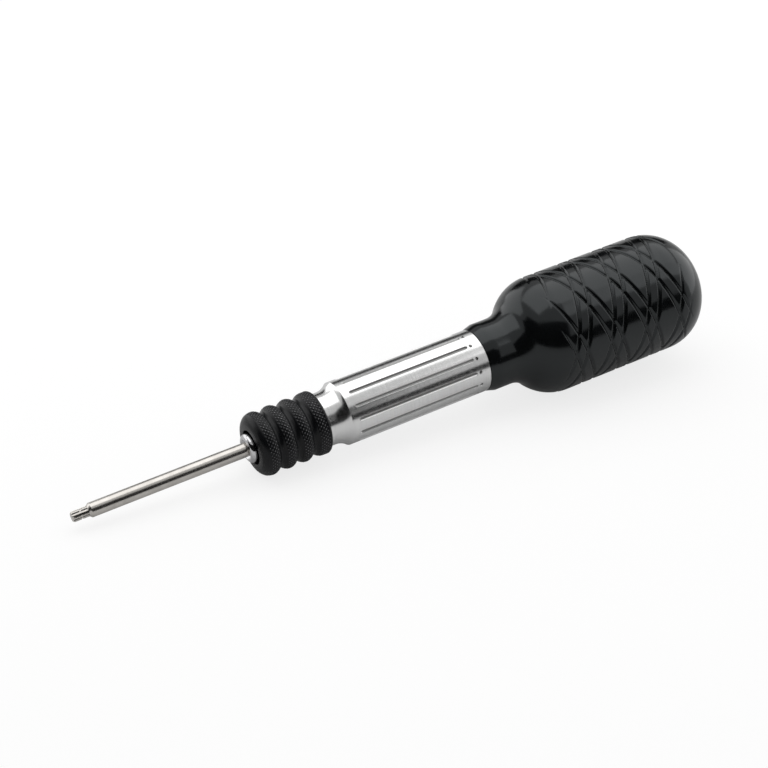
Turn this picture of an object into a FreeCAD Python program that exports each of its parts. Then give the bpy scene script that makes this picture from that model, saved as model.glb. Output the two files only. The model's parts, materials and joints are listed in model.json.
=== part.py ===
import FreeCAD, Part
import math
import os

# Torque screwdriver: a preset slipping clutch in a fluted barrel, a large grooved handle,
# and a quick-change socket with a sliding sleeve that holds the blade.
#
# Millimetres and degrees. Every piece is drawn along X with the drive tip at zero and the
# handle towards +X. A station is a distance along X; a turn is measured about X from the top.
# The whole tool is laid on its side at the end, resting on its sleeve and its handle.

Vector = FreeCAD.Vector
AXIS = Vector(1, 0, 0)
ORIGIN = Vector(0, 0, 0)

# ---- clearances ----------------------------------------------------------------------------
RUNNING_GAP = 0.05          # radial, a turning or sliding piece in its guiding bore
PASSING_GAP = 0.25          # radial, pieces that pass without guiding each other
END_GAP = 0.1               # along the axis, a moving face and its stop
SEAT_GAP = 0.02             # fixed pieces that are pressed or screwed together

# ---- blade ---------------------------------------------------------------------------------
BLADE_RADIUS = 2.25
BLADE_REACH = 57.5          # drive tip to the bottom of the socket's funnel
BLADE_GRIP = 19.0           # length held in the socket
TIP_RADIUS = 1.66           # over the lobes of the drive star
TIP_VALLEY = 1.3            # at the star's hollows
TIP_LOBES = 6
TIP_LENGTH = 5.1
TIP_CONE = 0.7              # between the star and the shank
TIP_CHAMFER = 0.35
TIP_RING_STATION = 2.5
TIP_RING_WIDTH = 0.5
TIP_RING_DEPTH = 0.3
RELIEF_DEPTH = 0.2          # undercut between the free shank and its fitted length
DRIVE_FLAT = 1.7            # axis to the flat that turns the blade
DRIVE_FLAT_LENGTH = 6.0

# ---- quick-change socket -------------------------------------------------------------------
SOCKET_RADIUS = 4.6
NOSE_ROUND = 1.3
FUNNEL_DEPTH = 1.3
FUNNEL_RADIUS = 3.1
NOSE_STANDOUT = 1.9         # nose ahead of the sleeve's front face
LOCK_DEPTH = 8.7            # sleeve's front face to the plane of the lock balls
LOCK_BALLS = 3
LOCK_BALL_RADIUS = 1.5
LOCK_BITE = 0.6             # how far a ball enters the blade
BALL_LIP = 0.22             # thin lip at the bottom of each ball hole
SNAP_RING_RADIUS = 5.3
SNAP_RING_THICKNESS = 0.8
SNAP_RING_BITE = 0.5        # depth of its groove in the socket
SNAP_RING_OPENING = 50.0
FLANGE_RADIUS = 5.8
FLANGE_THICKNESS = 1.0
FLANGE_GAP = 0.35           # behind the flange, clear of the spigot
PIN_RADIUS = 0.6
PIN_SETBACK = 1.95          # ahead of the socket's rear face

# ---- sleeve --------------------------------------------------------------------------------
SLEEVE_LENGTH = 23.0
SLEEVE_TRAVEL = 3.0
SLEEVE_FACE_RADIUS = 7.3
SLEEVE_RECESS_RADIUS = 5.5
RIDGES = 4
RIDGE_PITCH = 5.6
RIDGE_RADIUS = 10.15
RIDGE_STATION = 3.6         # first crown behind the front face
CROWN_ROUND = 2.3
VALLEY_DEPTH = 1.25
SLEEVE_REAR_ROUND = 1.2
RAMP_SPARE = 0.8            # ramp past the end of the travel
GUIDE_LENGTH = 3.5

# ---- sleeve spring -------------------------------------------------------------------------
SLEEVE_SPRING_RADIUS = 5.35
SLEEVE_SPRING_WIRE = 0.8
SLEEVE_SPRING_TURNS = 4.0

# ---- barrel --------------------------------------------------------------------------------
BARREL_RADIUS = 10.2
SPIGOT_RADIUS = 8.5
SPIGOT_TUCK = 0.3           # spigot inside the sleeve's rear edge
SPIGOT_LENGTH = 2.5         # parallel part, to the start of the flare
FLARE_ROUND = 6.5
RIM_CHAMFER = 0.3
BARREL_BODY = 49.6          # front rim to the handle
FLUTES = 14
FLUTE_WIDTH = 0.9
FLUTE_DEPTH = 0.45
FLUTE_START = 2.4           # behind the front rim
FLUTE_LENGTH = 42.2
DIMPLE_RADIUS = 0.5
DIMPLE_SETBACK = 1.2        # behind the end of the flute
DIMPLE_DEPTH = 0.55
CHAMBER_RADIUS = 8.2
TAIL_RADIUS = 9.6
TAIL_FLAT = 9.1             # axis to each of the two flats that keep the handle from turning
TAIL_LENGTH = 27.7
KEYWAYS = 3
KEYWAY_RADIUS = 1.0

# ---- shaft and its bearings ----------------------------------------------------------------
JOURNAL_RADIUS = 4.0
BUSH_RADIUS = 5.5
BUSH_LENGTH = 5.8
FRONT_BORE = 8.3            # spigot's face to the clutch chamber
SEAL_THICKNESS = 1.4
THRUST_WASHER_RADIUS = 7.9
THRUST_WASHER_THICKNESS = 1.0
CARRIER_RADIUS = 7.7
CARRIER_THICKNESS = 3.95
STEM_RADIUS = 2.6
PILOT_RADIUS = 2.6
PILOT_LENGTH = 10.0

# ---- clutch --------------------------------------------------------------------------------
CLUTCH_BALLS = 8
CLUTCH_BALL_RADIUS = 1.5
CLUTCH_BALL_CIRCLE = 5.3
BALL_STANDOUT = 1.3         # ball ahead of the carrier's face
POCKET_DEPTH = 0.35         # detent pockets in the pressure plate
PLATE_THICKNESS = 4.0
GUIDE_PIN_LENGTH = 10.3
GUIDE_PIN_SETBACK = 0.7     # behind the carrier
CLUTCH_SPRING_RADIUS = 5.7
CLUTCH_SPRING_WIDTH = 2.4
CLUTCH_SPRING_HEIGHT = 2.0
CLUTCH_SPRING_TURNS = 5.0
CLUTCH_SPRING_LENGTH = 20.0
SPRING_SEAT_THICKNESS = 1.5
SPRING_SEAT_BORE = 4.0
ADJUSTER_LENGTH = 5.0
LOCK_NUT_LENGTH = 3.0
NUT_HEX = 7.0               # across the flats of the key hole
PLUG_LENGTH = 4.0

# ---- handle --------------------------------------------------------------------------------
HANDLE_RADIUS = 19.35
NECK_RADIUS = 11.07
NECK_CHAMFER = 3.1
NECK_LENGTH = 8.7           # front edge to the start of the flare
NECK_ROUND = 8.7            # hollow round between neck and shoulder
SHOULDER_ROUND = 15.0
GRIP_LENGTH = 41.0          # parallel part
END_ROUND = 15.0
GROOVE_WIDTH = 1.3
GROOVE_DEPTH = 0.6
GROOVE_STARTS = 3           # pairs of grooves each way
GROOVE_PITCH = 13.45        # from pair to pair along the axis
GROOVE_SPACING = 4.2        # between the two grooves of a pair
GROOVE_TURN = 25.1          # where right-hand and left-hand pairs cross
GROOVE_STATION = 48.35      # that crossing, behind the handle's front edge
GROOVE_RUNOUT = 5.0         # cutter's travel past each end of the parallel grip
GROOVE_LIP = 0.6            # cutter's height above the grip


# ---- drawing helpers -----------------------------------------------------------------------
def spot(station, radius, turn=0.0):
    """Point at a station, a radius from the axis and a turn from the top."""
    angle = math.radians(turn)
    return Vector(station, -radius * math.sin(angle), radius * math.cos(angle))


def line(start, end):
    """Straight edge between two (station, radius) corners."""
    return Part.LineSegment(spot(*start), spot(*end)).toShape()


def arc(start, middle, end):
    """Arc edge through three (station, radius) points."""
    return Part.Arc(spot(*start), spot(*middle), spot(*end)).toShape()


def arc_about(centre, radius, first, last):
    """Arc edge about a (station, radius) centre, between two angles from +X towards +radius."""
    points = []
    for angle in (first, (first + last) / 2, last):
        rad = math.radians(angle)
        points.append((centre[0] + radius * math.cos(rad), centre[1] + radius * math.sin(rad)))
    return arc(*points)


def turned(edges, sectors=1):
    """Solid of revolution about the tool's axis from a half section; closes any open end.

    Its faces can be split into equal sectors, in step with a pattern that is cut into them.
    """
    wire = Part.Wire(edges)
    if not wire.isClosed():
        ends = [wire.OrderedVertexes[0].Point, wire.OrderedVertexes[-1].Point]
        wire = Part.Wire(wire.OrderedEdges + [Part.LineSegment(ends[1], ends[0]).toShape()])
    sector = Part.Face(wire).revolve(ORIGIN, AXIS, 360 / sectors)
    others = [turned_copy(sector, turn) for turn in turns(sectors)[1:]]
    return sector.multiFuse(others) if others else sector


def turned_corners(*corners):
    """Solid of revolution from straight-sided (station, radius) corners."""
    edges = []
    for start, end in zip(corners, corners[1:] + corners[:1]):
        edges.append(line(start, end))
    return turned(edges)


def rod(start, end, radius):
    """Plain cylinder along the tool's axis."""
    return Part.makeCylinder(radius, end - start, spot(start, 0), AXIS)


def tube(start, end, outer, inner):
    """Plain ring along the tool's axis."""
    return rod(start, end, outer).cut(rod(start, end, inner))


def side_rod(station, inner, outer, radius, turn):
    """Cylinder pointing out from the axis at a turn."""
    direction = spot(0, 1, turn)
    return Part.makeCylinder(radius, outer - inner, spot(station, inner, turn), direction)


def lying_rod(start, end, circle, radius, turn):
    """Cylinder parallel to the tool's axis, off centre by a circle's radius."""
    return Part.makeCylinder(radius, end - start, spot(start, circle, turn), AXIS)


def turns(count, first=0.0):
    """Evenly spaced turns."""
    return [first + 360.0 * k / count for k in range(count)]


def turned_copy(shape, turn):
    """Copy of a shape turned about the tool's axis, from the top towards the front side."""
    copy = shape.copy()
    copy.rotate(ORIGIN, AXIS, turn)
    return copy


def ball_at(station, radius_from_axis, radius, turn):
    """Ball off the axis."""
    return Part.makeSphere(radius, spot(station, radius_from_axis, turn))


def coil(start, end, radius, width, height, count):
    """Helical spring of rectangular wire with flat ground ends."""
    pitch = (end - start - height) / (count - 1)
    spare = pitch
    helix = Part.makeHelix(pitch, end - start + 2 * spare - height, radius)
    corners = []
    for side, rise in ((-1, -1), (1, -1), (1, 1), (-1, 1), (-1, -1)):
        corners.append(Vector(radius + side * width / 2, 0, rise * height / 2))
    profile = Part.makePolygon(corners)
    wire = Part.Wire(helix).makePipeShell([profile], True, True)
    wire.rotate(ORIGIN, Vector(0, 1, 0), 90)
    wire.translate(spot(start - spare + height / 2, 0))
    return wire.common(tube(start, end, radius + width, radius - width))


# ---- stations ------------------------------------------------------------------------------
x_mouth = BLADE_REACH
x_nose = x_mouth - FUNNEL_DEPTH
x_sleeve = x_nose + NOSE_STANDOUT
x_lock = x_sleeve + LOCK_DEPTH
x_blade_end = x_mouth + BLADE_GRIP
x_sleeve_end = x_sleeve + SLEEVE_LENGTH
x_spigot = x_sleeve_end - SPIGOT_TUCK
x_socket_end = x_spigot - FLANGE_GAP
x_flange = x_socket_end - FLANGE_THICKNESS
x_stem = x_blade_end + END_GAP
x_cross_pin = x_socket_end - PIN_SETBACK
x_counterbore = x_spigot - SLEEVE_TRAVEL - 3 * END_GAP

x_flare = x_sleeve_end + SPIGOT_LENGTH
flare_rise = BARREL_RADIUS - SPIGOT_RADIUS
flare_run = math.sqrt(FLARE_ROUND ** 2 - (FLARE_ROUND - flare_rise) ** 2)
x_rim = x_flare + flare_run
x_handle = x_rim + BARREL_BODY
x_chamber = x_spigot + FRONT_BORE
x_tail_end = x_handle + TAIL_LENGTH

x_carrier = x_chamber + THRUST_WASHER_THICKNESS + RUNNING_GAP
x_carrier_face = x_carrier + CARRIER_THICKNESS
x_clutch_balls = x_carrier_face + BALL_STANDOUT - CLUTCH_BALL_RADIUS
x_plate = x_clutch_balls + CLUTCH_BALL_RADIUS + RUNNING_GAP
x_clutch_spring = x_plate + PLATE_THICKNESS
x_spring_seat = x_clutch_spring + CLUTCH_SPRING_LENGTH
x_adjuster = x_spring_seat + SPRING_SEAT_THICKNESS
x_lock_nut = x_adjuster + ADJUSTER_LENGTH
x_plug = x_tail_end - PLUG_LENGTH

# The balls ride on a ramp inside the sleeve, and rise by what they bite into the blade.
lock_rise = LOCK_BITE + RUNNING_GAP
ramp_slope = lock_rise / SLEEVE_TRAVEL
ramp_angle = math.atan(ramp_slope)
lock_circle = BLADE_RADIUS - LOCK_BITE + LOCK_BALL_RADIUS
ramp_low = lock_circle + (LOCK_BALL_RADIUS + RUNNING_GAP) / math.cos(ramp_angle)
ramp_length = SLEEVE_TRAVEL + RAMP_SPARE
ramp_high = ramp_low + ramp_slope * ramp_length
socket_guide = SOCKET_RADIUS + RUNNING_GAP
x_ramp_end = x_lock + (ramp_low - socket_guide) / ramp_slope
x_sleeve_spring = x_ramp_end + GUIDE_LENGTH
x_snap_ring = x_lock - (SNAP_RING_RADIUS + RUNNING_GAP - ramp_low) / ramp_slope - SNAP_RING_THICKNESS

# The sleeve's nose is one round from its front face to the first crown.
nose_drop = RIDGE_RADIUS - SLEEVE_FACE_RADIUS
nose_round = (RIDGE_STATION ** 2 + nose_drop ** 2) / (2 * nose_drop)

# The handle's front shoulder: a hollow round and a full one that meet without a corner.
x_neck_end = x_handle + NECK_LENGTH
round_sum = NECK_ROUND + SHOULDER_ROUND
shoulder_rise = HANDLE_RADIUS - NECK_RADIUS
x_grip = x_neck_end + math.sqrt(round_sum ** 2 - (round_sum - shoulder_rise) ** 2)
shoulder_angle = math.degrees(math.acos((round_sum - shoulder_rise) / round_sum))
x_grip_end = x_grip + GRIP_LENGTH
x_end = x_grip_end + END_ROUND


# ---- blade ---------------------------------------------------------------------------------
def blade():
    """Interchangeable blade: star tip, round shank, lock groove and driven flat."""
    x_shank = TIP_LENGTH + TIP_CONE
    shank = turned_corners(
        (0, 0),
        (0, TIP_RADIUS - TIP_CHAMFER),
        (TIP_CHAMFER, TIP_RADIUS),
        (TIP_LENGTH, TIP_RADIUS),
        (x_shank, BLADE_RADIUS),
        (x_nose, BLADE_RADIUS),
        (x_nose, BLADE_RADIUS - RELIEF_DEPTH),
        (x_mouth, BLADE_RADIUS - RELIEF_DEPTH),
        (x_mouth, BLADE_RADIUS),
        (x_blade_end - TIP_CHAMFER, BLADE_RADIUS),
        (x_blade_end, BLADE_RADIUS - TIP_CHAMFER),
        (x_blade_end, 0),
    )
    hollow_radius = (TIP_RADIUS - TIP_VALLEY) * 1.6
    hollow_circle = TIP_VALLEY + hollow_radius
    for turn in turns(TIP_LOBES, 180.0 / TIP_LOBES):
        shank = shank.cut(lying_rod(-1, TIP_LENGTH - TIP_CHAMFER, hollow_circle, hollow_radius, turn))
    ring_end = TIP_RING_STATION + TIP_RING_WIDTH
    shank = shank.cut(tube(TIP_RING_STATION, ring_end, BLADE_RADIUS, TIP_RADIUS - TIP_RING_DEPTH))
    groove = Part.makeTorus(lock_circle, LOCK_BALL_RADIUS + RUNNING_GAP, spot(x_lock, 0), AXIS)
    shank = shank.cut(groove)
    return shank.cut(drive_flat(DRIVE_FLAT, x_blade_end + 1))


def drive_flat(height, end):
    """Block above the flat that the blade and the socket share, at the top of the bore."""
    start = x_blade_end - DRIVE_FLAT_LENGTH
    corner = Vector(start, -BLADE_RADIUS * 2, height)
    return Part.makeBox(end - start, BLADE_RADIUS * 4, BLADE_RADIUS * 2, corner)


# ---- socket group --------------------------------------------------------------------------
def coupling_socket():
    """Socket with a rounded nose, a funnel, three ball holes and the spring's flange."""
    round_centre = (x_nose + NOSE_ROUND, SOCKET_RADIUS - NOSE_ROUND)
    bore = BLADE_RADIUS + RUNNING_GAP
    nose = arc_about(round_centre, NOSE_ROUND, 180, 90)
    edges = [
        line((x_mouth, bore), (x_nose, FUNNEL_RADIUS)),
        line((x_nose, FUNNEL_RADIUS), (x_nose, SOCKET_RADIUS - NOSE_ROUND)),
        nose,
        line((x_nose + NOSE_ROUND, SOCKET_RADIUS), (x_flange, SOCKET_RADIUS)),
        line((x_flange, SOCKET_RADIUS), (x_flange, FLANGE_RADIUS)),
        line((x_flange, FLANGE_RADIUS), (x_socket_end, FLANGE_RADIUS)),
        line((x_socket_end, FLANGE_RADIUS), (x_socket_end, STEM_RADIUS + SEAT_GAP)),
        line((x_socket_end, STEM_RADIUS + SEAT_GAP), (x_stem, STEM_RADIUS + SEAT_GAP)),
        line((x_stem, STEM_RADIUS + SEAT_GAP), (x_stem, bore)),
        line((x_stem, bore), (x_mouth, bore)),
    ]
    body = turned(edges)
    segment = rod(x_blade_end - DRIVE_FLAT_LENGTH, x_stem, BLADE_RADIUS + 2 * RUNNING_GAP)
    segment = segment.common(drive_flat(DRIVE_FLAT + RUNNING_GAP, x_stem))
    body = body.fuse(segment)
    ring_bottom = SOCKET_RADIUS - SNAP_RING_BITE
    body = body.cut(tube(x_snap_ring, x_snap_ring + SNAP_RING_THICKNESS, FLANGE_RADIUS, ring_bottom))
    hole = LOCK_BALL_RADIUS + RUNNING_GAP / 2
    lip = math.sqrt(LOCK_BALL_RADIUS ** 2 - (lock_circle - bore - BALL_LIP) ** 2) + RUNNING_GAP / 2
    for turn in turns(LOCK_BALLS):
        body = body.cut(side_rod(x_lock, bore + BALL_LIP, SOCKET_RADIUS + 1, hole, turn))
        body = body.cut(side_rod(x_lock, 1, bore + BALL_LIP, lip, turn))
    return body.cut(cross_pin(PIN_RADIUS))


def cross_pin(radius):
    """Pin through the socket and the shaft's stem."""
    reach = SOCKET_RADIUS - END_GAP
    return Part.makeCylinder(radius, 2 * reach, Vector(x_cross_pin, 0, -reach), Vector(0, 0, 1))


def lock_ball(turn):
    """Steel ball that holds the blade by its groove."""
    return ball_at(x_lock, lock_circle, LOCK_BALL_RADIUS, turn)


def snap_ring():
    """Open ring that stops the sleeve at the front."""
    inner = SOCKET_RADIUS - SNAP_RING_BITE + SEAT_GAP
    ring = tube(x_snap_ring + SEAT_GAP, x_snap_ring + SNAP_RING_THICKNESS, SNAP_RING_RADIUS, inner)
    half = SNAP_RING_OPENING / 2
    reach = 2 * SNAP_RING_RADIUS
    corners = [spot(x_snap_ring, 0), spot(x_snap_ring, reach, 90 - half)]
    corners += [spot(x_snap_ring, reach, 90 + half), spot(x_snap_ring, 0)]
    gap = Part.Face(Part.makePolygon(corners)).extrude(AXIS * SNAP_RING_THICKNESS)
    return ring.cut(gap)


def sleeve_spring():
    """Spring that pushes the sleeve forward off the socket's flange."""
    start = x_sleeve_spring + RUNNING_GAP
    end = x_flange - RUNNING_GAP
    wire = SLEEVE_SPRING_WIRE
    return coil(start, end, SLEEVE_SPRING_RADIUS, wire, wire, SLEEVE_SPRING_TURNS)


# ---- sleeve --------------------------------------------------------------------------------
def ridge_edges():
    """Crowns and hollows of the sleeve, round into round, from the first crown to the last."""
    half = RIDGE_PITCH / 2
    both = (half ** 2 + VALLEY_DEPTH ** 2) / (2 * VALLEY_DEPTH)
    lean = math.degrees(math.asin(half / both))
    hollow_round = both - CROWN_ROUND
    edges = []
    for k in range(RIDGES - 1):
        crown = (x_sleeve + RIDGE_STATION + k * RIDGE_PITCH, RIDGE_RADIUS - CROWN_ROUND)
        hollow = (crown[0] + half, RIDGE_RADIUS - VALLEY_DEPTH + hollow_round)
        following = (crown[0] + RIDGE_PITCH, crown[1])
        edges.append(arc_about(crown, CROWN_ROUND, 90, 90 - lean))
        edges.append(arc_about(hollow, hollow_round, 270 - lean, 270 + lean))
        edges.append(arc_about(following, CROWN_ROUND, 90 + lean, 90))
    return edges


def lock_sleeve():
    """Ridged sleeve: drawn back, its ramp lets the balls rise and frees the blade."""
    x_first = x_sleeve + RIDGE_STATION
    x_last = x_first + (RIDGES - 1) * RIDGE_PITCH
    x_round = x_sleeve_end - SLEEVE_REAR_ROUND
    rear_bore = SPIGOT_RADIUS + PASSING_GAP
    spring_bore = FLANGE_RADIUS + PASSING_GAP
    x_ramp = x_lock - ramp_length
    nose_lean = math.degrees(math.asin(RIDGE_STATION / nose_round))
    rear_round = arc_about((x_round, RIDGE_RADIUS - SLEEVE_REAR_ROUND), SLEEVE_REAR_ROUND, 90, 10)
    rear_foot = rear_round.Vertexes[-1].Point
    edges = [
        line((x_sleeve, SLEEVE_RECESS_RADIUS), (x_sleeve, SLEEVE_FACE_RADIUS)),
        arc_about((x_first, RIDGE_RADIUS - nose_round), nose_round, 90 + nose_lean, 90),
    ]
    edges += ridge_edges()
    edges += [
        line((x_last, RIDGE_RADIUS), (x_round, RIDGE_RADIUS)),
        rear_round,
        line((rear_foot.x, rear_foot.z), (x_sleeve_end, rear_bore)),
        line((x_sleeve_end, rear_bore), (x_counterbore, rear_bore)),
        line((x_counterbore, rear_bore), (x_counterbore, spring_bore)),
        line((x_counterbore, spring_bore), (x_sleeve_spring, spring_bore)),
        line((x_sleeve_spring, spring_bore), (x_sleeve_spring, socket_guide)),
        line((x_sleeve_spring, socket_guide), (x_ramp_end, socket_guide)),
        line((x_ramp_end, socket_guide), (x_ramp, ramp_high)),
        line((x_ramp, ramp_high), (x_ramp, SLEEVE_RECESS_RADIUS)),
        line((x_ramp, SLEEVE_RECESS_RADIUS), (x_sleeve, SLEEVE_RECESS_RADIUS)),
    ]
    return turned(edges)


# ---- barrel group --------------------------------------------------------------------------
def barrel():
    """Aluminium barrel: spigot, hollow flare, fluted body, clutch chamber and tail."""
    flare_lean = math.degrees(math.asin(flare_run / FLARE_ROUND))
    flare_centre = (x_flare, SPIGOT_RADIUS + FLARE_ROUND)
    edges = [
        line((x_spigot, BUSH_RADIUS), (x_spigot, SPIGOT_RADIUS)),
        line((x_spigot, SPIGOT_RADIUS), (x_flare, SPIGOT_RADIUS)),
        arc_about(flare_centre, FLARE_ROUND, 270, 270 + flare_lean),
        line((x_rim, BARREL_RADIUS), (x_handle - RIM_CHAMFER, BARREL_RADIUS)),
        line((x_handle - RIM_CHAMFER, BARREL_RADIUS), (x_handle, BARREL_RADIUS - RIM_CHAMFER)),
        line((x_handle, BARREL_RADIUS - RIM_CHAMFER), (x_handle, CHAMBER_RADIUS)),
        line((x_handle, CHAMBER_RADIUS), (x_chamber, CHAMBER_RADIUS)),
        line((x_chamber, CHAMBER_RADIUS), (x_chamber, BUSH_RADIUS)),
        line((x_chamber, BUSH_RADIUS), (x_spigot, BUSH_RADIUS)),
    ]
    body = turned(edges).cut(flutes())
    body = body.fuse(tail_section().cut(rod(x_handle, x_tail_end, CHAMBER_RADIUS)))
    x_keyway = x_carrier_face + GUIDE_PIN_SETBACK - END_GAP
    for turn in keyway_turns():
        keyway = lying_rod(x_keyway, x_tail_end, CHAMBER_RADIUS, KEYWAY_RADIUS + SEAT_GAP, turn)
        body = body.cut(keyway)
    return body


def flutes():
    """Milled flutes with round ends, each with a drilled dimple behind it."""
    x_start = x_rim + FLUTE_START
    x_stop = x_start + FLUTE_LENGTH
    half = FLUTE_WIDTH / 2
    floor = BARREL_RADIUS - FLUTE_DEPTH
    height = FLUTE_DEPTH * 2
    slot = Part.makeBox(FLUTE_LENGTH - FLUTE_WIDTH, FLUTE_WIDTH, height, Vector(x_start + half, -half, floor))
    slot = slot.fuse(side_rod(x_start + half, floor, floor + height, half, 0))
    slot = slot.fuse(side_rod(x_stop - half, floor, floor + height, half, 0)).removeSplitter()
    bottom = BARREL_RADIUS - DIMPLE_DEPTH
    dimple = side_rod(x_stop + DIMPLE_SETBACK, bottom, BARREL_RADIUS + height, DIMPLE_RADIUS, 0)
    cutters = []
    for turn in turns(FLUTES):
        cutters.append(turned_copy(slot, turn))
        cutters.append(turned_copy(dimple, turn))
    return cutters


def keyway_turns():
    """Turns of the guide pins' keyways, the first between two flutes."""
    return turns(KEYWAYS, 180.0 / FLUTES)


def tail_section():
    """Rear end of the barrel that the handle sits on, round with two flats."""
    tail = rod(x_handle, x_tail_end, TAIL_RADIUS)
    corner = Vector(x_handle, -TAIL_FLAT, -TAIL_RADIUS)
    return tail.common(Part.makeBox(TAIL_LENGTH, 2 * TAIL_FLAT, 2 * TAIL_RADIUS, corner))


def front_bush():
    """Bronze bush in the spigot that the shaft turns in."""
    return tube(x_spigot, x_spigot + BUSH_LENGTH, BUSH_RADIUS, JOURNAL_RADIUS + RUNNING_GAP)


def shaft_seal():
    """Felt ring behind the bush that keeps the clutch grease in."""
    start = x_spigot + BUSH_LENGTH + SEAT_GAP
    return tube(start, start + SEAL_THICKNESS, BUSH_RADIUS - SEAT_GAP, JOURNAL_RADIUS + RUNNING_GAP)


def thrust_washer():
    """Washer that takes the push of the shaft against the barrel's shoulder."""
    end = x_chamber + THRUST_WASHER_THICKNESS
    return tube(x_chamber, end, THRUST_WASHER_RADIUS, JOURNAL_RADIUS + 3 * RUNNING_GAP)


# ---- clutch --------------------------------------------------------------------------------
def drive_shaft():
    """Shaft with stem, journal, ball carrier and rear pilot."""
    x_pilot_end = x_carrier_face + PILOT_LENGTH
    body = turned_corners(
        (x_stem, 0),
        (x_stem, STEM_RADIUS),
        (x_socket_end, STEM_RADIUS),
        (x_socket_end, JOURNAL_RADIUS),
        (x_carrier, JOURNAL_RADIUS),
        (x_carrier, CARRIER_RADIUS),
        (x_carrier_face, CARRIER_RADIUS),
        (x_carrier_face, PILOT_RADIUS),
        (x_pilot_end, PILOT_RADIUS),
        (x_pilot_end, 0),
    )
    pocket = x_clutch_balls - CLUTCH_BALL_RADIUS
    wall = CLUTCH_BALL_RADIUS + SEAT_GAP
    for turn in turns(CLUTCH_BALLS):
        body = body.cut(lying_rod(pocket, x_carrier_face + 1, CLUTCH_BALL_CIRCLE, wall, turn))
    return body.cut(cross_pin(PIN_RADIUS))


def clutch_balls():
    """Balls that ride between the carrier and the pressure plate."""
    balls = []
    for turn in turns(CLUTCH_BALLS):
        balls.append(ball_at(x_clutch_balls, CLUTCH_BALL_CIRCLE, CLUTCH_BALL_RADIUS, turn))
    return Part.makeCompound(balls)


def pressure_plate():
    """Sprung plate with a detent pocket for each ball, kept from turning by guide pins."""
    outer = CHAMBER_RADIUS - PASSING_GAP
    plate = tube(x_plate, x_clutch_spring, outer, PILOT_RADIUS + 2 * RUNNING_GAP)
    pocket_radius = CLUTCH_BALL_RADIUS + 2 * RUNNING_GAP
    pocket_station = x_plate + POCKET_DEPTH - pocket_radius
    for turn in turns(CLUTCH_BALLS):
        plate = plate.cut(ball_at(pocket_station, CLUTCH_BALL_CIRCLE, pocket_radius, turn))
    notch = KEYWAY_RADIUS + 2 * RUNNING_GAP
    for turn in keyway_turns():
        plate = plate.cut(lying_rod(x_plate - 1, x_clutch_spring + 1, CHAMBER_RADIUS, notch, turn))
    return plate


def guide_pins():
    """Pins half in the barrel and half in the plate's notches."""
    start = x_carrier_face + GUIDE_PIN_SETBACK
    pins = []
    for turn in keyway_turns():
        pins.append(lying_rod(start, start + GUIDE_PIN_LENGTH, CHAMBER_RADIUS, KEYWAY_RADIUS, turn))
    return Part.makeCompound(pins)


def clutch_spring():
    """Heavy spring of rectangular wire that sets the slipping torque."""
    size = (CLUTCH_SPRING_RADIUS, CLUTCH_SPRING_WIDTH, CLUTCH_SPRING_HEIGHT)
    return coil(x_clutch_spring, x_spring_seat, *size, CLUTCH_SPRING_TURNS)


def spring_seat():
    """Hard washer between the spring and the adjuster."""
    return tube(x_spring_seat, x_adjuster, CHAMBER_RADIUS - PASSING_GAP, SPRING_SEAT_BORE)


def screwed_ring(start, length):
    """Ring that screws into the barrel, with a hexagon for its key."""
    ring = rod(start, start + length, CHAMBER_RADIUS - SEAT_GAP)
    corner = NUT_HEX / math.sqrt(3)
    corners = []
    for turn in turns(6) + [0.0]:
        corners.append(spot(start, corner, turn))
    return ring.cut(Part.Face(Part.makePolygon(corners)).extrude(AXIS * length))


def tail_plug():
    """Plug that closes the barrel inside the handle."""
    return rod(x_plug, x_tail_end, CHAMBER_RADIUS - SEAT_GAP)


# ---- handle --------------------------------------------------------------------------------
def handle_body():
    """Handle before grooving: chamfered neck, hollow flare, full shoulder, grip and round end."""
    neck_centre = (x_neck_end, NECK_RADIUS + NECK_ROUND)
    shoulder_centre = (x_grip, HANDLE_RADIUS - SHOULDER_ROUND)
    end_centre = (x_grip_end, HANDLE_RADIUS - END_ROUND)
    x_chamfer = x_handle + NECK_CHAMFER
    edges = [
        line((x_handle, 0), (x_handle, BARREL_RADIUS)),
        line((x_handle, BARREL_RADIUS), (x_chamfer, NECK_RADIUS)),
        line((x_chamfer, NECK_RADIUS), (x_neck_end, NECK_RADIUS)),
        arc_about(neck_centre, NECK_ROUND, 270, 270 + shoulder_angle),
        arc_about(shoulder_centre, SHOULDER_ROUND, 90 + shoulder_angle, 90),
        line((x_grip, HANDLE_RADIUS), (x_grip_end, HANDLE_RADIUS)),
        arc_about(end_centre, END_ROUND, 90, 0),
        line((x_end, HANDLE_RADIUS - END_ROUND), (x_end, 0)),
    ]
    return turned(edges, GROOVE_STARTS)


def groove_cutter():
    """One right-hand helical cutter with a V section, through the crossing station at the top."""
    lead = GROOVE_PITCH * GROOVE_STARTS
    x_from = x_grip - GROOVE_RUNOUT
    length = GRIP_LENGTH + 2 * GROOVE_RUNOUT
    floor = HANDLE_RADIUS - GROOVE_DEPTH
    top = HANDLE_RADIUS + GROOVE_LIP
    half = GROOVE_WIDTH / 2 * (top - floor) / GROOVE_DEPTH
    section = Part.makePolygon([
        Vector(floor, 0, 0), Vector(top, 0, -half), Vector(top, 0, half), Vector(floor, 0, 0)])
    helix = Part.makeHelix(lead, length, HANDLE_RADIUS)
    cutter = Part.Wire(helix).makePipeShell([section], True, True)
    cutter.rotate(ORIGIN, Vector(0, 1, 0), 90)
    cutter.translate(spot(x_from, 0))
    # Laid along X, the helix starts on the underside.
    turn_there = 180.0 + 360.0 * (x_handle + GROOVE_STATION - x_from) / lead
    return turned_copy(cutter, -turn_there)


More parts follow.
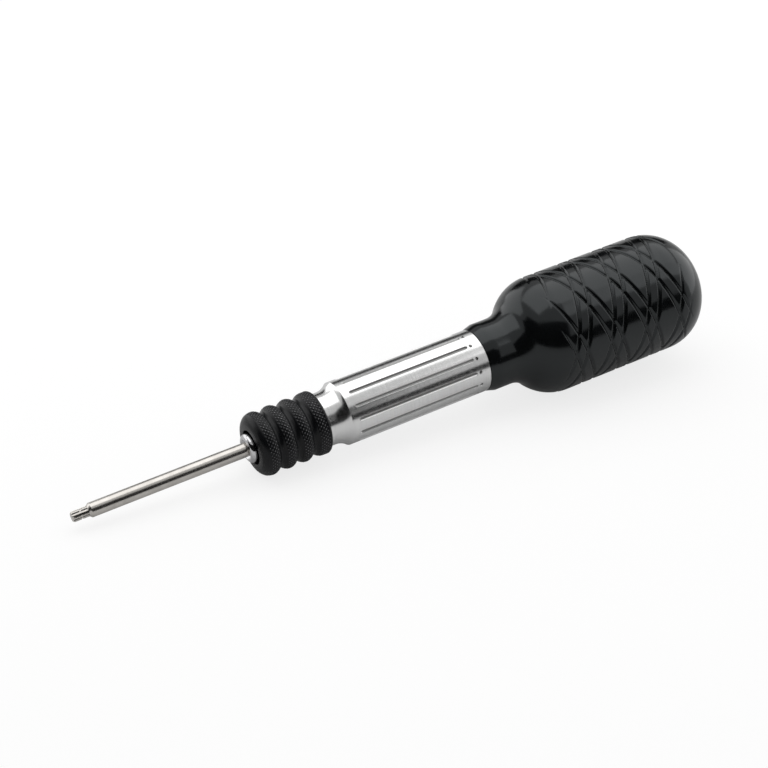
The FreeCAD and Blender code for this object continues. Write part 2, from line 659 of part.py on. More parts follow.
def grooves():
    """Cutters for pairs of grooves each way round, crossing into diamonds."""
    half_space = 180.0 * GROOVE_SPACING / (GROOVE_PITCH * GROOVE_STARTS)
    right = groove_cutter()
    left = right.mirror(ORIGIN, Vector(0, 1, 0))
    cutters = []
    for one in (right, left):
        for turn in turns(GROOVE_STARTS, GROOVE_TURN):
            cutters.append(turned_copy(one, turn - half_space))
            cutters.append(turned_copy(one, turn + half_space))
    return cutters


def handle_grip():
    """Moulded handle on the barrel's tail, grooved one helix after another."""
    body = handle_body()
    for cutter in grooves():
        body = body.cut(cutter)
    return body.cut(tail_section())


# ---- laying the tool down ------------------------------------------------------------------
def rest_tilt():
    """Angle of the axis when the tool lies on its first ridge and the handle's shoulder."""
    run = x_grip - (x_sleeve + RIDGE_STATION)
    rise = (HANDLE_RADIUS - SHOULDER_ROUND) - (RIDGE_RADIUS - nose_round)
    lean = math.asin((SHOULDER_ROUND - nose_round) / math.hypot(run, rise))
    return math.degrees(lean + math.atan2(rise, run))


def lay_down(shape):
    """Tilt the tool to its rest and put the middle of its footprint at the origin."""
    tilt = rest_tilt()
    rad = math.radians(tilt)
    low = (HANDLE_RADIUS - SHOULDER_ROUND) * math.cos(rad) + SHOULDER_ROUND - x_grip * math.sin(rad)
    front = -(TIP_RADIUS - TIP_CHAMFER) * math.sin(rad)
    rear = x_grip_end * math.cos(rad) + (HANDLE_RADIUS - END_ROUND) * math.sin(rad) + END_ROUND
    laid = shape.copy()
    laid.rotate(ORIGIN, Vector(0, 1, 0), -tilt)
    laid.translate(Vector(-(front + rear) / 2, 0, low))
    return laid


def build():
    """Every piece of the tool by name."""
    pieces = {
        "handle_grip": handle_grip(),
        "barrel": barrel(),
        "front_bush": front_bush(),
        "shaft_seal": shaft_seal(),
        "thrust_washer": thrust_washer(),
        "guide_pins": guide_pins(),
        "clutch_spring": clutch_spring(),
        "spring_seat": spring_seat(),
        "torque_adjuster": screwed_ring(x_adjuster, ADJUSTER_LENGTH),
        "lock_nut": screwed_ring(x_lock_nut, LOCK_NUT_LENGTH),
        "tail_plug": tail_plug(),
        "pressure_plate": pressure_plate(),
        "drive_shaft": drive_shaft(),
        "clutch_balls": clutch_balls(),
        "coupling_socket": coupling_socket(),
        "coupling_pin": cross_pin(PIN_RADIUS),
        "snap_ring": snap_ring(),
        "sleeve_spring": sleeve_spring(),
        "blade": blade(),
        "lock_sleeve": lock_sleeve(),
    }
    for number, turn in enumerate(turns(LOCK_BALLS), start=1):
        pieces["lock_ball_%d" % number] = lock_ball(turn)
    return pieces


os.makedirs("parts", exist_ok=True)
for name, shape in build().items():
    laid = lay_down(shape)
    laid.exportStep("parts/%s.step" % name)
    print("%-16s volume %9.1f mm3, valid %s, solids %d" % (name, laid.Volume, laid.isValid(), len(laid.Solids)))
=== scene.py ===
"""Looks of a torque screwdriver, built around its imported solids.

Every piece is modelled in the tool's own frame, with X along the axis from the drive tip towards the
grip, and is then laid into the row frame. Lengths are metres. A station is a distance along the axis
from the tip, and a turn is an angle about it from the top towards -Y.
"""

import json
import logging
import math
from dataclasses import dataclass, field
from enum import Enum
from typing import Callable, Sequence

import bmesh
import bpy
from mathutils import Matrix, Vector

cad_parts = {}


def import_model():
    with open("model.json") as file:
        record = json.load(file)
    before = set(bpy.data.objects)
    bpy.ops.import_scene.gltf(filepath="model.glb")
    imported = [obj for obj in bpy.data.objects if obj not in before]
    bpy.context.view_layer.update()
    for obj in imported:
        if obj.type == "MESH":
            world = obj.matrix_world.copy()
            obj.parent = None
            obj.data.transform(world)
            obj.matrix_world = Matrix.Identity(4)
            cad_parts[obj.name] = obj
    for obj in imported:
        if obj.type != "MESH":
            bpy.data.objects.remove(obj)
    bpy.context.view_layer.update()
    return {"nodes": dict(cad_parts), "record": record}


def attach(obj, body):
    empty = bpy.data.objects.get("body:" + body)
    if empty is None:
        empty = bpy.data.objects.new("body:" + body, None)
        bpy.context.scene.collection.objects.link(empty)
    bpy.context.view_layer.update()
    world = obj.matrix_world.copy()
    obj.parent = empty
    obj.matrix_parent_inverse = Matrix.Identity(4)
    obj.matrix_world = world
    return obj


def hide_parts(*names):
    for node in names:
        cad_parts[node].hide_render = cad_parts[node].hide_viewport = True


log = logging.getLogger("torque_screwdriver")

MM = 0.001
MARK = "mark"

# Points this close are one point, and a radius this near another is the same, in metres.
MERGE_DISTANCE = 1e-7
TOLERANCE = 1e-6

# Most of a noise's values lie between these.
NOISE_LOW = 0.3
NOISE_HIGH = 0.7

# Watts a square metre that make a lamp's face as bright as white.
WATTS_A_LEVEL = 2.2


class Body(Enum):
    """Rigid bodies of the frame."""

    HOUSING = "housing"
    OUTPUT = "output"
    SLEEVE = "sleeve"


# ---- the tool's own frame ----


@dataclass(frozen=True)
class ToolAxis:
    """Where the tool's axis lies in the row frame.

    Attributes:
        tip: The drive tip's end on the axis.
        direction: Unit vector from the tip towards the grip.
    """

    tip: Vector
    direction: Vector

    @classmethod
    def from_record(cls, record: dict) -> "ToolAxis":
        """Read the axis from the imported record.

        Args:
            record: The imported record.

        Returns:
            The axis through the drive tip along the output's hinge.
        """
        mounts = {mount["name"]: mount for mount in record["mounts"]}
        joints = {joint["name"]: joint for joint in record["behaviour"]["joints"]}
        direction = Vector(joints["output_spin"]["axis"]).normalized()
        return cls(Vector(mounts["drive_tip"]["pos_m"]), direction)

    @property
    def tilt(self) -> float:
        """Rise of the axis towards the grip, in radians."""
        return math.atan2(self.direction.z, self.direction.x)

    def matrix(self) -> Matrix:
        """Placement of the tool's frame in the row frame."""
        return Matrix.Translation(self.tip) @ Matrix.Rotation(-self.tilt, 4, "Y")

    def span(self, node: bpy.types.Object) -> tuple[float, float]:
        """Measure a solid along the axis.

        Args:
            node: A CAD node.

        Returns:
            Its first and last station.
        """
        stations = [(vertex.co - self.tip).dot(self.direction) for vertex in node.data.vertices]
        return min(stations), max(stations)


class Outline:
    """Half outline of a turned piece, from station to station."""

    def __init__(self, station: float, radius: float) -> None:
        """Start the outline at one point."""
        self.points: list[tuple[float, float]] = [(station, radius)]

    def line(self, station: float, radius: float, rows: int = 1) -> "Outline":
        """Run straight to a point.

        Args:
            station: Station of the end.
            radius: Radius of the end.
            rows: Rows of faces on the way.

        Returns:
            The outline itself.
        """
        first, start = self.points[-1]
        for row in range(1, rows + 1):
            share = row / rows
            self.points.append((first + (station - first) * share, start + (radius - start) * share))
        return self

    def arc(self, centre: tuple[float, float], radius: float, first: float, last: float,
            rows: int) -> "Outline":
        """Run along an arc, starting with a straight piece to its first point if that lies apart.

        Args:
            centre: Station and radius of the arc's centre.
            radius: The arc's own radius.
            first: Angle of its start in degrees, from the grip's direction outwards.
            last: Angle of its end.
            rows: Rows of faces along it.

        Returns:
            The outline itself.
        """
        for row in range(rows + 1):
            angle = math.radians(first + (last - first) * row / rows)
            point = (centre[0] + radius * math.cos(angle), centre[1] + radius * math.sin(angle))
            if math.dist(point, self.points[-1]) > MERGE_DISTANCE:
                self.points.append(point)
        return self


Sink = Callable[[float, float, float], float]


def turned_mesh(name: str, outline: Outline, columns: int, closed: bool,
                sink: Sink | None = None, mark: Sink | None = None) -> bmesh.types.BMesh:
    """Spin a half outline into a piece.

    Args:
        name: Piece name, for the log.
        outline: Half outline.
        columns: Faces around the axis.
        closed: Whether the outline's end is joined to its start.
        sink: Gives the new radius of a point from its station, radius and turn.
        mark: Gives the value of the point's mark, for its finish, from the same three.

    Returns:
        The piece's mesh in the tool's frame.
    """
    bm = bmesh.new()
    marks = bm.verts.layers.float.new(MARK) if mark else None
    verts = [bm.verts.new((station, 0.0, radius)) for station, radius in outline.points]
    edges = [bm.edges.new(pair) for pair in zip(verts, verts[1:])]
    if closed:
        edges.append(bm.edges.new((verts[-1], verts[0])))
    bmesh.ops.spin(
        bm, geom=verts + edges, cent=(0, 0, 0), axis=(1, 0, 0), dvec=(0, 0, 0),
        angle=2 * math.pi, steps=columns, use_merge=True, use_normal_flip=False, use_duplicate=False,
    )
    bmesh.ops.remove_doubles(bm, verts=bm.verts, dist=MERGE_DISTANCE)
    for vert in bm.verts if sink else ():
        radius = math.hypot(vert.co.y, vert.co.z)
        if radius > TOLERANCE:
            turn = math.atan2(-vert.co.y, vert.co.z)
            if mark:
                vert[marks] = mark(vert.co.x, radius, turn)
            scale = sink(vert.co.x, radius, turn) / radius
            vert.co.y *= scale
            vert.co.z *= scale
    bmesh.ops.recalc_face_normals(bm, faces=bm.faces)
    log.debug("%s: %d faces", name, len(bm.faces))
    return bm


def finish_piece(name: str, bm: bmesh.types.BMesh, axis: ToolAxis, material: bpy.types.Material,
                 body: Body, nodes: Sequence[str], sharp: float) -> bpy.types.Object:
    """Lay a mesh into the row frame and hand it to its body.

    Args:
        name: Name of the object.
        bm: Mesh in the tool's frame, freed here.
        axis: The tool's axis.
        material: Its finish.
        body: Rigid body that carries it.
        nodes: CAD nodes that it stands for.
        sharp: Edges that turn by more than this many degrees stay crisp.

    Returns:
        The finished object.
    """
    for face in bm.faces:
        face.smooth = True
    for edge in bm.edges:
        if len(edge.link_faces) == 2 and edge.calc_face_angle(0.0) > math.radians(sharp):
            edge.smooth = False
    bm.transform(axis.matrix())
    mesh = bpy.data.meshes.new(name)
    bm.to_mesh(mesh)
    bm.free()
    mesh.materials.append(material)
    piece = bpy.data.objects.new(name, mesh)
    bpy.context.collection.objects.link(piece)
    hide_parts(*nodes)
    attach(piece, body.value)
    triangles = sum(len(face.vertices) - 2 for face in mesh.polygons)
    log.info("%s: %d triangles, on %s", name, triangles, body.value)
    return piece


# ---- finishes ----


class Shader:
    """One node material on the tool's own coordinates."""

    def __init__(self, name: str, axis: ToolAxis) -> None:
        """Start a material with a principled shader and the tool's coordinates.

        Args:
            name: Name of the material.
            axis: The tool's axis.
        """
        self.material = bpy.data.materials.new(name)
        self.material.use_nodes = True
        self.tree = self.material.node_tree
        self.principled = self.tree.nodes["Principled BSDF"]
        coordinates = self.tree.nodes.new("ShaderNodeTexCoord")
        mapping = self.tree.nodes.new("ShaderNodeMapping")
        mapping.vector_type = "TEXTURE"
        mapping.inputs["Location"].default_value = axis.tip
        mapping.inputs["Rotation"].default_value = (0, -axis.tilt, 0)
        self.link(coordinates.outputs["Object"], mapping.inputs["Vector"])
        self.position = mapping.outputs["Vector"]

    def link(self, source: bpy.types.NodeSocket, target: bpy.types.NodeSocket) -> None:
        """Join two sockets."""
        self.tree.links.new(source, target)

    def set(self, **values: float | tuple) -> "Shader":
        """Set plain values on the principled shader.

        Args:
            values: Values by input, with underscores for the spaces in its name.

        Returns:
            The shader itself.
        """
        for name, value in values.items():
            self.principled.inputs[name.replace("_", " ")].default_value = value
        return self

    def stretched(self, along: float, across: float) -> bpy.types.NodeSocket:
        """Scale the tool's coordinates.

        Args:
            along: Scale along the axis, in cells a metre.
            across: Scale across it.

        Returns:
            The scaled position.
        """
        scale = self.tree.nodes.new("ShaderNodeMapping")
        scale.inputs["Scale"].default_value = (along, across, across)
        self.link(self.position, scale.inputs["Vector"])
        return scale.outputs["Vector"]

    def noise(self, along: float, across: float, detail: float = 2.0,
              rough: float = 0.5) -> bpy.types.NodeSocket:
        """Noise on the tool's coordinates.

        Args:
            along: Cells a metre along the axis.
            across: Cells a metre across it.
            detail: Octaves.
            rough: Weight of the finer octaves.

        Returns:
            The noise, from 0 to 1.
        """
        noise = self.tree.nodes.new("ShaderNodeTexNoise")
        noise.inputs["Scale"].default_value = 1.0
        noise.inputs["Detail"].default_value = detail
        noise.inputs["Roughness"].default_value = rough
        self.link(self.stretched(along, across), noise.inputs["Vector"])
        return noise.outputs["Fac"]

    def mark(self) -> bpy.types.NodeSocket:
        """Read the piece's own mark, from 0 to 1."""
        attribute = self.tree.nodes.new("ShaderNodeAttribute")
        attribute.attribute_name = MARK
        return attribute.outputs["Fac"]

    def shift(self, source: bpy.types.NodeSocket, name: str,
              towards: float | Sequence[float]) -> None:
        """Draw one input of the principled shader towards a value.

        Args:
            source: How far it is drawn, from 0 to 1.
            name: The input, already linked or set.
            towards: Where it is drawn to.
        """
        target = self.principled.inputs[name]
        colour = target.type == "RGBA"
        mix = self.tree.nodes.new("ShaderNodeMix")
        mix.data_type = "RGBA" if colour else "FLOAT"
        ends = [socket for socket in mix.inputs if socket.enabled and socket.name in ("A", "B")]
        first, second = ends
        first.default_value = target.default_value
        if target.links:
            self.link(target.links[0].from_socket, first)
        second.default_value = (*towards, 1) if colour else towards
        self.link(source, mix.inputs[0])
        self.link(next(socket for socket in mix.outputs if socket.enabled), target)

    def spread(self, source: bpy.types.NodeSocket, low: float, high: float,
               start: float = NOISE_LOW, end: float = NOISE_HIGH) -> bpy.types.NodeSocket:
        """Map a value from one range to another.

        Args:
            source: The value.
            low: Result at the range's start.
            high: Result at its end.
            start: Start of the source's range.
            end: End of it.

        Returns:
            The mapped value.
        """
        node = self.tree.nodes.new("ShaderNodeMapRange")
        limits = {"From Min": start, "From Max": end, "To Min": low, "To Max": high}
        for name, value in limits.items():
            node.inputs[name].default_value = value
        self.link(source, node.inputs["Value"])
        return node.outputs["Result"]

    def tint(self, source: bpy.types.NodeSocket, dark: Sequence[float],
             light: Sequence[float]) -> None:
        """Let a noise choose the base colour between two colours.

        Args:
            source: The noise.
            dark: Colour at its low end.
            light: Colour at its high end.
        """
        ramp = self.tree.nodes.new("ShaderNodeValToRGB")
        ends = ((NOISE_LOW, dark), (NOISE_HIGH, light))
        for element, (position, colour) in zip(ramp.color_ramp.elements, ends):
            element.position = position
            element.color = (*colour, 1)
        self.link(source, ramp.inputs["Fac"])
        self.link(ramp.outputs["Color"], self.principled.inputs["Base Color"])

    def bump(self, source: bpy.types.NodeSocket, height: float) -> None:
        """Raise the surface by a value.

        Args:
            source: The value, from 0 to 1.
            height: Height of one unit, in metres.
        """
        node = self.tree.nodes.new("ShaderNodeBump")
        node.inputs["Strength"].default_value = 1.0
        node.inputs["Distance"].default_value = height
        self.link(source, node.inputs["Height"])
        self.link(node.outputs["Normal"], self.principled.inputs["Normal"])


@dataclass(frozen=True)
class GlossPlastic:
    """Black moulded plastic with a slight orange peel."""

    name: str = "gloss_plastic"
    dark: tuple[float, float, float] = (0.0020, 0.0023, 0.0025)
    light: tuple[float, float, float] = (0.0040, 0.0045, 0.0050)
    ior: float = 1.52
    gloss_tint: tuple[float, float, float, float] = (0.92, 0.98, 1.0, 1.0)
    roughness: tuple[float, float] = (0.13, 0.19)
    tone_cells: float = 60
    gloss_cells: float = 400
    peel_cells: float = 900
    peel: float = 0.000004

    def build(self, axis: ToolAxis) -> bpy.types.Material:
        """Make the material.

        Args:
            axis: The tool's axis.

        Returns:
            The material.
        """
        shader = Shader(self.name, axis).set(IOR=self.ior, Specular_Tint=self.gloss_tint)
        shader.tint(shader.noise(self.tone_cells, self.tone_cells), self.dark, self.light)
        gloss = shader.noise(self.gloss_cells, self.gloss_cells, 3)
        shader.link(shader.spread(gloss, *self.roughness), shader.principled.inputs["Roughness"])
        shader.bump(shader.noise(self.peel_cells, self.peel_cells, 2), self.peel)
        return shader.material


@dataclass(frozen=True)
class TurnedAluminium:
    """Bright aluminium with fine turning rings, rougher where it is marked as cut in, with painted
    shade darkening its colour there.
    """

    name: str = "turned_aluminium"
    dark: tuple[float, float, float] = (0.84, 0.84, 0.84)
    light: tuple[float, float, float] = (0.92, 0.92, 0.915)
    roughness: tuple[float, float] = (0.16, 0.25)
    # Colour of the painted shade in the flutes and dimples.
    recess: tuple[float, float, float] = (0.26, 0.26, 0.255)
    recess_roughness: float = 0.45
    recess_range: tuple[float, float] = (0.05, 0.9)
    ring_cells: tuple[float, float] = (9000, 40)
    tone_cells: tuple[float, float] = (2500, 30)
    relief: float = 0.000003

    def build(self, axis: ToolAxis) -> bpy.types.Material:
        """Make the material.

        Args:
            axis: The tool's axis.

        Returns:
            The material.
        """
        shader = Shader(self.name, axis).set(Metallic=1.0)
        rings = shader.noise(*self.ring_cells, detail=3)
        shader.tint(shader.noise(*self.tone_cells, detail=3), self.dark, self.light)
        shader.link(shader.spread(rings, *self.roughness), shader.principled.inputs["Roughness"])
        # Painted shade: the mark darkens the colour in the flutes and dimples. It also raises the
        # roughness there.
        recess = shader.spread(shader.mark(), 0.0, 1.0, *self.recess_range)
        shader.shift(recess, "Base Color", self.recess)
        shader.shift(recess, "Roughness", self.recess_roughness)
        shader.bump(rings, self.relief)
        return shader.material


@dataclass(frozen=True)
class BlackAnodised:
    """Black anodised metal with a satin sheen, with a painted highlight, a lighter metallic colour,
    where it is marked as a tip.
    """

    name: str = "black_anodised"
    dark: tuple[float, float, float] = (0.0025, 0.0028, 0.0035)
    light: tuple[float, float, float] = (0.005, 0.0055, 0.007)
    # Lighter colour of the painted highlight on the knurl tips.
    tip_highlight: tuple[float, float, float] = (0.42, 0.42, 0.44)
    tip_highlight_metallic: float = 0.7
    tip_highlight_range: tuple[float, float] = (0.62, 0.95)
    patch_share: tuple[float, float] = (0.25, 1.0)
    patch_cells: float = 700
    ior: float = 1.34
    roughness: tuple[float, float] = (0.24, 0.34)
    tone_cells: tuple[float, float] = (3000, 200)
    gloss_cells: tuple[float, float] = (6000, 100)
    ring_cells: tuple[float, float] = (9000, 60)
    relief: float = 0.000003

    def build(self, axis: ToolAxis) -> bpy.types.Material:
        """Make the material.

        Args:
            axis: The tool's axis.

        Returns:
            The material.
        """
        shader = Shader(self.name, axis).set(IOR=self.ior)
        shader.tint(shader.noise(*self.tone_cells, detail=3), self.dark, self.light)
        gloss = shader.noise(*self.gloss_cells)
        shader.link(shader.spread(gloss, *self.roughness), shader.principled.inputs["Roughness"])
        # Painted highlight: the knurl tips take a lighter, more metallic colour, broken into patches
        # by a noise.
        tip_highlight = shader.spread(shader.mark(), 0.0, 1.0, *self.tip_highlight_range)
        patches = shader.noise(self.patch_cells, self.patch_cells)
        patches = shader.spread(patches, *self.patch_share)
        both = shader.tree.nodes.new("ShaderNodeMath")
        both.operation = "MULTIPLY"
        shader.link(tip_highlight, both.inputs[0])
        shader.link(patches, both.inputs[1])
        shader.shift(both.outputs["Value"], "Base Color", self.tip_highlight)
        shader.shift(both.outputs["Value"], "Metallic", self.tip_highlight_metallic)
        shader.bump(shader.noise(*self.ring_cells), self.relief)
        return shader.material


@dataclass(frozen=True)
class Steel:
    """Steel from polished to satin, with faint rings or grain.

    Attributes:
        name: Name of the material.
        dark: Its darker tone.
        light: Its lighter tone.
        roughness: Least and most roughness.
        grain: Cells a metre of the grain, along and across the axis.
        relief: Height of the grain in metres.
        tone_cells: Cells a metre of the drift between the tones.
    """

    name: str
    dark: tuple[float, float, float]
    light: tuple[float, float, float]
    roughness: tuple[float, float]
    grain: tuple[float, float]
    relief: float
    tone_cells: float = 300

    def build(self, axis: ToolAxis) -> bpy.types.Material:
        """Make the material.

        Args:
            axis: The tool's axis.

        Returns:
            The material.
        """
        shader = Shader(self.name, axis).set(Metallic=1.0)
        grain = shader.noise(*self.grain, detail=3)
        shader.tint(shader.noise(self.tone_cells, self.tone_cells), self.dark, self.light)
        shader.link(shader.spread(grain, *self.roughness), shader.principled.inputs["Roughness"])
        shader.bump(grain, self.relief)
        return shader.material


@dataclass(frozen=True)
class Felt:
    """Greased felt."""

    name: str = "felt"
    dark: tuple[float, float, float] = (0.14, 0.12, 0.10)
    light: tuple[float, float, float] = (0.30, 0.27, 0.22)
    roughness: float = 0.95
    fibre_cells: float = 5000
    relief: float = 0.00005

    def build(self, axis: ToolAxis) -> bpy.types.Material:
        """Make the material.

        Args:
            axis: The tool's axis.

        Returns:
            The material.
        """
        shader = Shader(self.name, axis).set(Roughness=self.roughness)
        fibres = shader.noise(self.fibre_cells, self.fibre_cells, 4, 0.7)
        shader.tint(fibres, self.dark, self.light)
        shader.bump(fibres, self.relief)
        return shader.material


POLISHED = Steel(
    "polished_steel", (0.62, 0.62, 0.63), (0.76, 0.76, 0.77),
    roughness=(0.05, 0.10), grain=(9000, 60), relief=0.000001,
)
BLADE_SATIN = Steel(
    "blade_steel", (0.60, 0.575, 0.54), (0.70, 0.675, 0.64),
    roughness=(0.20, 0.28), grain=(8000, 80), relief=0.000002,
)
SPRING = Steel(
    "spring_steel", (0.30, 0.30, 0.31), (0.42, 0.42, 0.43),
    roughness=(0.30, 0.45), grain=(900, 900), relief=0.000004,
)
HARD = Steel(
    "hard_steel", (0.40, 0.40, 0.41), (0.54, 0.54, 0.55),
    roughness=(0.22, 0.34), grain=(7000, 200), relief=0.000002,
)
BALLS = Steel(
    "ball_steel", (0.70, 0.70, 0.71), (0.78, 0.78, 0.79),
    roughness=(0.03, 0.06), grain=(900, 900), relief=0.0000005,
)
BRONZE = Steel(
    "bronze", (0.42, 0.26, 0.11), (0.60, 0.40, 0.19),
    roughness=(0.35, 0.50), grain=(2500, 2500), relief=0.000006,
)


# ---- grip ----


@dataclass
class Grip:
    """Large moulded grip with crossing pairs of helical grooves."""

    axis: ToolAxis
    front: float
    radius: float = 19.35 * MM
    front_radius: float = 10.2 * MM
    neck_radius: float = 11.07 * MM
    chamfer: float = 3.1 * MM
    neck: float = 8.7 * MM
    neck_round: float = 8.7 * MM
    shoulder_round: float = 15.0 * MM
    length: float = 41.0 * MM
    end_round: float = 15.0 * MM
    bore: float = 9.6 * MM
    groove_depth: float = 0.6 * MM
    groove_width: float = 1.44 * MM
    groove_lip: float = 0.3
    groove_floor: float = 0.2
    starts: int = 3
    pitch: float = 13.45 * MM
    spacing: float = 4.2 * MM
    crossing_turn: float = math.radians(25.1)
    crossing: float = 48.35 * MM
    run_out: float = 16.0
    shoulder_rows: tuple[int, int] = (14, 18)
    end_rows: tuple[int, int] = (18, 22)
    neck_rows: int = 16
    columns: int = 360
    row: float = 0.25 * MM
    sharp: float = 60.0

    def stations(self) -> tuple[float, float, float]:
        """Find where the grip changes shape.

        Returns:
            Stations of the neck's end and of the straight part's start and end.
        """
        neck_end = self.front + self.neck
        both = self.neck_round + self.shoulder_round
        rise = self.radius - self.neck_radius
        start = neck_end + math.sqrt(both ** 2 - (both - rise) ** 2)
        return neck_end, start, start + self.length

    def outline(self) -> Outline:
        """Half outline, open at the bore that takes the barrel's tail.

        Returns:
            The outline, from the bore's edge to the rear on the axis.
        """
        neck_end, start, end = self.stations()
        both = self.neck_round + self.shoulder_round
        lean = math.degrees(math.acos((both - self.radius + self.neck_radius) / both))
        outline = Outline(self.front, self.bore)
        outline.line(self.front, self.front_radius)
        outline.line(self.front + self.chamfer, self.neck_radius, 4)
        outline.line(neck_end, self.neck_radius, 4)
        hollow = (neck_end, self.neck_radius + self.neck_round)
        outline.arc(hollow, self.neck_round, 270, 270 + lean, self.neck_rows)
        shoulder = (start, self.radius - self.shoulder_round)
        wide, close = self.shoulder_rows
        outline.arc(shoulder, self.shoulder_round, 90 + lean, 90 + self.run_out, wide)
        outline.arc(shoulder, self.shoulder_round, 90 + self.run_out, 90, close)
        outline.line(end, self.radius, round(self.length / self.row))
        rear = (end, self.radius - self.end_round)
        close, wide = self.end_rows
        outline.arc(rear, self.end_round, 90, 90 - self.run_out, close)
        outline.arc(rear, self.end_round, 90 - self.run_out, 0, wide)
        outline.line(end + self.end_round, 0, 3)
        return outline

    def groove(self, station: float, turn: float) -> float:
        """Depth of the grooves below the grip's full radius.

        Args:
            station: Station of the point.
            turn: Its turn in radians.

        Returns:
            The depth in metres.
        """
        lead = self.pitch * self.starts
        around = 2 * math.pi * self.radius
        square = around / math.hypot(around, lead)
        middle = self.front + self.crossing
        deepest = 0.0
        for hand in (1, -1):
            advance = lead * (turn - self.crossing_turn) / (2 * math.pi)
            along = station - middle - hand * advance
            along = (along + self.pitch / 2) % self.pitch - self.pitch / 2
            apart = abs(abs(along) - self.spacing / 2) * square
            deepest = max(deepest, self.valley(apart / (self.groove_width / 2)))
        return self.groove_depth * deepest

    def valley(self, share: float) -> float:
        """Section of one groove: straight flanks between a rounded lip and a rounded floor.

        Args:
            share: Distance from the groove's middle, as a share of its half width.

        Returns:
            The depth, from 0 at the lip to 1 on the floor.
        """
        lip, floor = self.groove_lip, self.groove_floor
        deep = 1 - (lip + floor) / 2
        if share >= 1:
            return 0.0
        if share > 1 - lip:
            return (1 - share) ** 2 / (2 * lip) / deep
        if share > floor:
            return (1 - lip / 2 - share) / deep
        return 1 - share ** 2 / (2 * floor) / deep

    def sink(self, station: float, radius: float, turn: float) -> float:
        """Cut the grooves.

        Args:
            station: Station of the point.
            radius: Its radius before they are cut.
            turn: Its turn in radians.

        Returns:
            Its radius.
        """
        last = self.stations()[2] + self.end_round / 2
        if radius < self.radius - self.groove_depth or station > last:
            return radius
        return min(radius, self.radius - self.groove(station, turn))

    def build(self, material: bpy.types.Material) -> bpy.types.Object:
        """Model the grip and put it in the scene."""
        bm = turned_mesh("grip", self.outline(), self.columns, False, self.sink)
        return finish_piece("grip", bm, self.axis, material, Body.HOUSING, ["handle_grip"], self.sharp)


# ---- barrel ----


